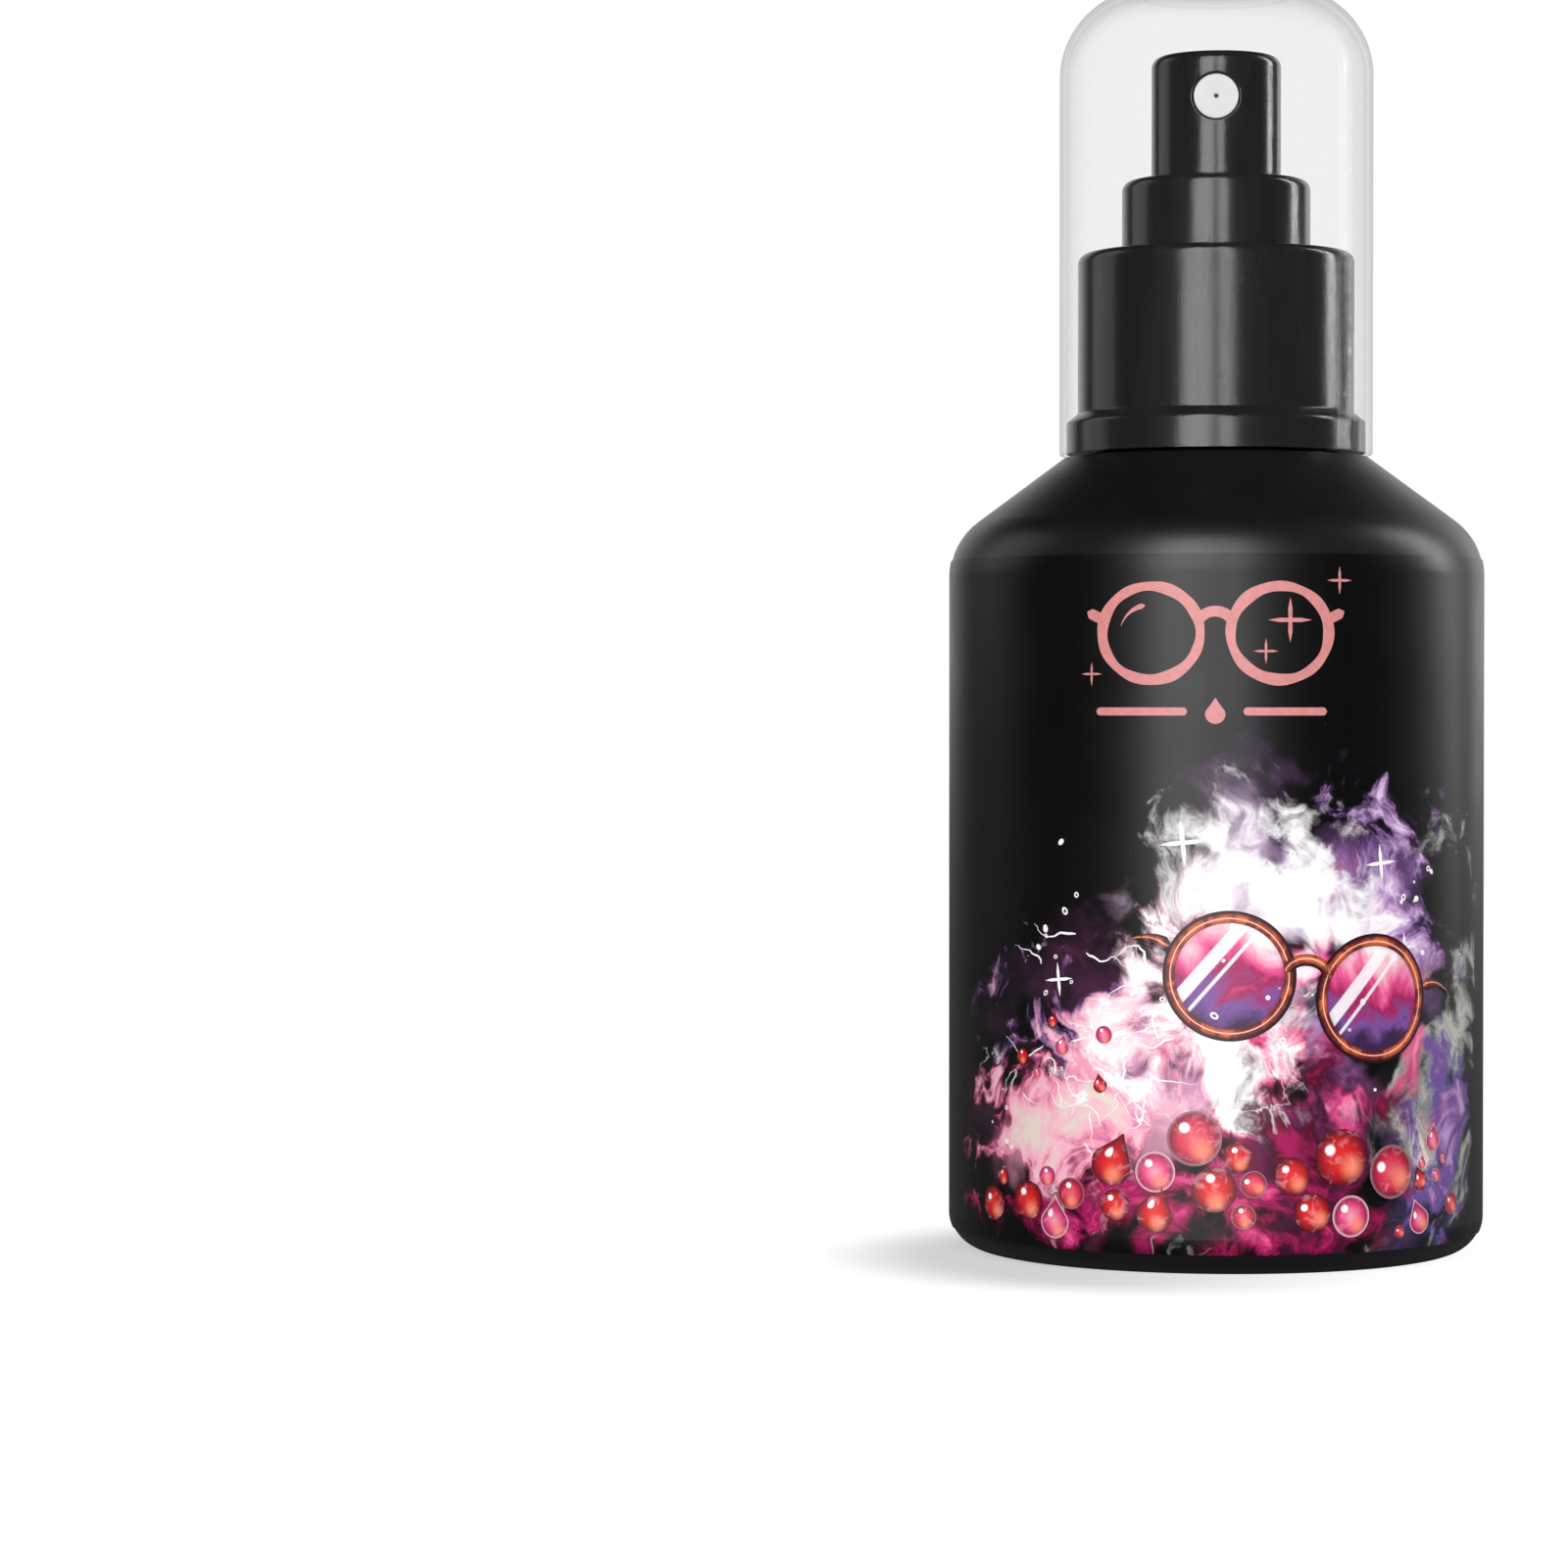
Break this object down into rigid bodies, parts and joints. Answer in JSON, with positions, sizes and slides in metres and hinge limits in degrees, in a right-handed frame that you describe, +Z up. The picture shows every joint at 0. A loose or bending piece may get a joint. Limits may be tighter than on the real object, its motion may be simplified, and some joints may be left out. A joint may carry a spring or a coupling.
{
  "type": "lens cleaning spray",
  "caption": "Round black spray bottle with a printed wrap, a screw-on fine-mist pump, a push button and a clear lift-off overcap, for lens cleaning liquid.",
  "frame": {"origin": "centre of the bottle's foot, on the surface it stands on", "axes": "+Z up along the bottle's axis, the nozzle faces -Y, +X to the right seen from the front"},
  "size_m": [0.0522, 0.0522, 0.1233],
  "materials": {
    "bottle_plastic": "fine matte black",
    "label_film": "matte black film with a printed pink mist",
    "pump_plastic": "satin gloss black",
    "nozzle_plastic": "satin white",
    "clear_plastic": "clear polished",
    "natural_plastic": "natural, unpigmented",
    "piston_plastic": "natural, waxy",
    "tube_plastic": "translucent natural",
    "seal_rubber": "soft grey",
    "spring_steel": "drawn wire",
    "ball_steel": "polished"
  },
  "bodies": {
    "bottle": {"bottle": "bottle_plastic", "label_sleeve": "label_film"},
    "pump": {"pump_housing": "natural_plastic", "neck_gasket": "seal_rubber", "stem_seal": "seal_rubber", "turret": "pump_plastic", "ball_retainer": "natural_plastic", "dip_tube": "tube_plastic", "return_spring": "spring_steel"},
    "closure": {"closure": "pump_plastic"},
    "plunger": {"stem": "natural_plastic", "valve_rod": "natural_plastic", "piston_spring": "spring_steel"},
    "piston": {"piston": "piston_plastic"},
    "button": {"actuator": "pump_plastic", "nozzle_insert": "nozzle_plastic"},
    "inlet_ball": {"inlet_ball": "ball_steel"},
    "overcap": {"overcap": "clear_plastic"}
  },
  "joints": [
    {"name": "pump_lift", "type": "slide", "parent": "bottle", "child": "pump", "axis": [0, 0, 1], "range_m": [0, 0.00635]},
    {"name": "closure_unscrew", "type": "hinge", "parent": "pump", "child": "closure", "pos_m": [0, 0, 0.088], "axis": [0, 0, 1], "range_deg": [0, 720]},
    {"name": "overcap_pull", "type": "slide", "parent": "closure", "child": "overcap", "axis": [0, 0, 1], "range_m": [0, 0.045]},
    {"name": "button_press", "type": "slide", "parent": "pump", "child": "plunger", "axis": [0, 0, -1], "range_m": [0, 0.0055], "stiffness_N_per_m": 1500, "springref_m": -0.005, "deforming": ["return_spring"]},
    {"name": "nozzle_swivel", "type": "hinge", "parent": "plunger", "child": "button", "pos_m": [0, 0, 0.11], "axis": [0, 0, 1], "continuous": true},
    {"name": "piston_slip", "type": "slide", "parent": "plunger", "child": "piston", "axis": [0, 0, 1], "range_m": [0, 0.0007], "stiffness_N_per_m": 1200, "springref_m": -0.0015, "deforming": ["piston_spring"]},
    {"name": "ball_lift", "type": "slide", "parent": "pump", "child": "inlet_ball", "axis": [0, 0, 1], "range_m": [0, 0.0008]}
  ],
  "couplings": [
    {"joint": "closure_unscrew", "follows": "pump_lift", "rad_per_m": 1979}
  ]
}
